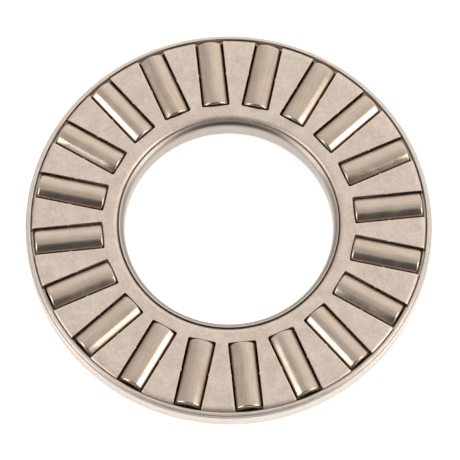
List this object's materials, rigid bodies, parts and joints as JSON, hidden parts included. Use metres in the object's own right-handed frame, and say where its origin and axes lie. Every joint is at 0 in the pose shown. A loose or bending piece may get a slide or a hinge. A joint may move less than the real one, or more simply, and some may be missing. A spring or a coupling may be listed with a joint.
{
  "type": "cylindrical roller thrust bearing with integral race",
  "caption": "Thrust roller bearing of a pressed steel race channel, a windowed pressed cage nested in it and short radial cylindrical rollers, for axial load against one flat washer or shoulder.",
  "frame": {"origin": "on the bearing axis, in the race's flat back face", "axes": "+Z along the bearing axis, out of the open side where the cage and the rollers are seen; +X through the middle of roller_01"},
  "size_m": [0.068, 0.068, 0.0055],
  "materials": {
    "race_steel": "satin pressed and hardened steel with a stepped rim, warm grey",
    "cage_steel": "tumbled satin pressed steel, warm grey",
    "roller_steel": "fine ground hardened steel, half bright"
  },
  "bodies": {
    "race": {"race": "race_steel"},
    "cage": {"cage": "cage_steel"},
    "roller_01": {"roller_01": "roller_steel"},
    "roller_02": {"roller_02": "roller_steel"},
    "roller_03": {"roller_03": "roller_steel"},
    "roller_04": {"roller_04": "roller_steel"},
    "roller_05": {"roller_05": "roller_steel"},
    "roller_06": {"roller_06": "roller_steel"},
    "roller_07": {"roller_07": "roller_steel"},
    "roller_08": {"roller_08": "roller_steel"},
    "roller_09": {"roller_09": "roller_steel"},
    "roller_10": {"roller_10": "roller_steel"},
    "roller_11": {"roller_11": "roller_steel"},
    "roller_12": {"roller_12": "roller_steel"},
    "roller_13": {"roller_13": "roller_steel"},
    "roller_14": {"roller_14": "roller_steel"},
    "roller_15": {"roller_15": "roller_steel"},
    "roller_16": {"roller_16": "roller_steel"},
    "roller_17": {"roller_17": "roller_steel"},
    "roller_18": {"roller_18": "roller_steel"},
    "roller_19": {"roller_19": "roller_steel"},
    "roller_20": {"roller_20": "roller_steel"}
  },
  "joints": [
    {"name": "cage_spin", "type": "hinge", "parent": "race", "child": "cage", "pos_m": [0, 0, 0.0028], "axis": [0, 0, 1], "continuous": true},
    {"name": "roller_01_spin", "type": "hinge", "parent": "cage", "child": "roller_01", "pos_m": [0.02685, 0, 0.003], "axis": [1, 0, 0], "continuous": true},
    {"name": "roller_02_spin", "type": "hinge", "parent": "cage", "child": "roller_02", "pos_m": [0.02554, 0.0083, 0.003], "axis": [0.9511, 0.309, 0], "continuous": true},
    {"name": "roller_03_spin", "type": "hinge", "parent": "cage", "child": "roller_03", "pos_m": [0.02172, 0.01578, 0.003], "axis": [0.809, 0.5878, 0], "continuous": true},
    {"name": "roller_04_spin", "type": "hinge", "parent": "cage", "child": "roller_04", "pos_m": [0.01578, 0.02172, 0.003], "axis": [0.5878, 0.809, 0], "continuous": true},
    {"name": "roller_05_spin", "type": "hinge", "parent": "cage", "child": "roller_05", "pos_m": [0.0083, 0.02554, 0.003], "axis": [0.309, 0.9511, 0], "continuous": true},
    {"name": "roller_06_spin", "type": "hinge", "parent": "cage", "child": "roller_06", "pos_m": [0, 0.02685, 0.003], "axis": [0, 1, 0], "continuous": true},
    {"name": "roller_07_spin", "type": "hinge", "parent": "cage", "child": "roller_07", "pos_m": [-0.0083, 0.02554, 0.003], "axis": [-0.309, 0.9511, 0], "continuous": true},
    {"name": "roller_08_spin", "type": "hinge", "parent": "cage", "child": "roller_08", "pos_m": [-0.01578, 0.02172, 0.003], "axis": [-0.5878, 0.809, 0], "continuous": true},
    {"name": "roller_09_spin", "type": "hinge", "parent": "cage", "child": "roller_09", "pos_m": [-0.02172, 0.01578, 0.003], "axis": [-0.809, 0.5878, 0], "continuous": true},
    {"name": "roller_10_spin", "type": "hinge", "parent": "cage", "child": "roller_10", "pos_m": [-0.02554, 0.0083, 0.003], "axis": [-0.9511, 0.309, 0], "continuous": true},
    {"name": "roller_11_spin", "type": "hinge", "parent": "cage", "child": "roller_11", "pos_m": [-0.02685, 0, 0.003], "axis": [-1, 0, 0], "continuous": true},
    {"name": "roller_12_spin", "type": "hinge", "parent": "cage", "child": "roller_12", "pos_m": [-0.02554, -0.0083, 0.003], "axis": [-0.9511, -0.309, 0], "continuous": true},
    {"name": "roller_13_spin", "type": "hinge", "parent": "cage", "child": "roller_13", "pos_m": [-0.02172, -0.01578, 0.003], "axis": [-0.809, -0.5878, 0], "continuous": true},
    {"name": "roller_14_spin", "type": "hinge", "parent": "cage", "child": "roller_14", "pos_m": [-0.01578, -0.02172, 0.003], "axis": [-0.5878, -0.809, 0], "continuous": true},
    {"name": "roller_15_spin", "type": "hinge", "parent": "cage", "child": "roller_15", "pos_m": [-0.0083, -0.02554, 0.003], "axis": [-0.309, -0.9511, 0], "continuous": true},
    {"name": "roller_16_spin", "type": "hinge", "parent": "cage", "child": "roller_16", "pos_m": [0, -0.02685, 0.003], "axis": [0, -1, 0], "continuous": true},
    {"name": "roller_17_spin", "type": "hinge", "parent": "cage", "child": "roller_17", "pos_m": [0.0083, -0.02554, 0.003], "axis": [0.309, -0.9511, 0], "continuous": true},
    {"name": "roller_18_spin", "type": "hinge", "parent": "cage", "child": "roller_18", "pos_m": [0.01578, -0.02172, 0.003], "axis": [0.5878, -0.809, 0], "continuous": true},
    {"name": "roller_19_spin", "type": "hinge", "parent": "cage", "child": "roller_19", "pos_m": [0.02172, -0.01578, 0.003], "axis": [0.809, -0.5878, 0], "continuous": true},
    {"name": "roller_20_spin", "type": "hinge", "parent": "cage", "child": "roller_20", "pos_m": [0.02554, -0.0083, 0.003], "axis": [0.9511, -0.309, 0], "continuous": true}
  ],
  "couplings": [
    {"joint": "roller_01_spin", "follows": "cage_spin", "ratio": -10.74},
    {"joint": "roller_02_spin", "follows": "cage_spin", "ratio": -10.74},
    {"joint": "roller_03_spin", "follows": "cage_spin", "ratio": -10.74},
    {"joint": "roller_04_spin", "follows": "cage_spin", "ratio": -10.74},
    {"joint": "roller_05_spin", "follows": "cage_spin", "ratio": -10.74},
    {"joint": "roller_06_spin", "follows": "cage_spin", "ratio": -10.74},
    {"joint": "roller_07_spin", "follows": "cage_spin", "ratio": -10.74},
    {"joint": "roller_08_spin", "follows": "cage_spin", "ratio": -10.74},
    {"joint": "roller_09_spin", "follows": "cage_spin", "ratio": -10.74},
    {"joint": "roller_10_spin", "follows": "cage_spin", "ratio": -10.74},
    {"joint": "roller_11_spin", "follows": "cage_spin", "ratio": -10.74},
    {"joint": "roller_12_spin", "follows": "cage_spin", "ratio": -10.74},
    {"joint": "roller_13_spin", "follows": "cage_spin", "ratio": -10.74},
    {"joint": "roller_14_spin", "follows": "cage_spin", "ratio": -10.74},
    {"joint": "roller_15_spin", "follows": "cage_spin", "ratio": -10.74},
    {"joint": "roller_16_spin", "follows": "cage_spin", "ratio": -10.74},
    {"joint": "roller_17_spin", "follows": "cage_spin", "ratio": -10.74},
    {"joint": "roller_18_spin", "follows": "cage_spin", "ratio": -10.74},
    {"joint": "roller_19_spin", "follows": "cage_spin", "ratio": -10.74},
    {"joint": "roller_20_spin", "follows": "cage_spin", "ratio": -10.74}
  ]
}
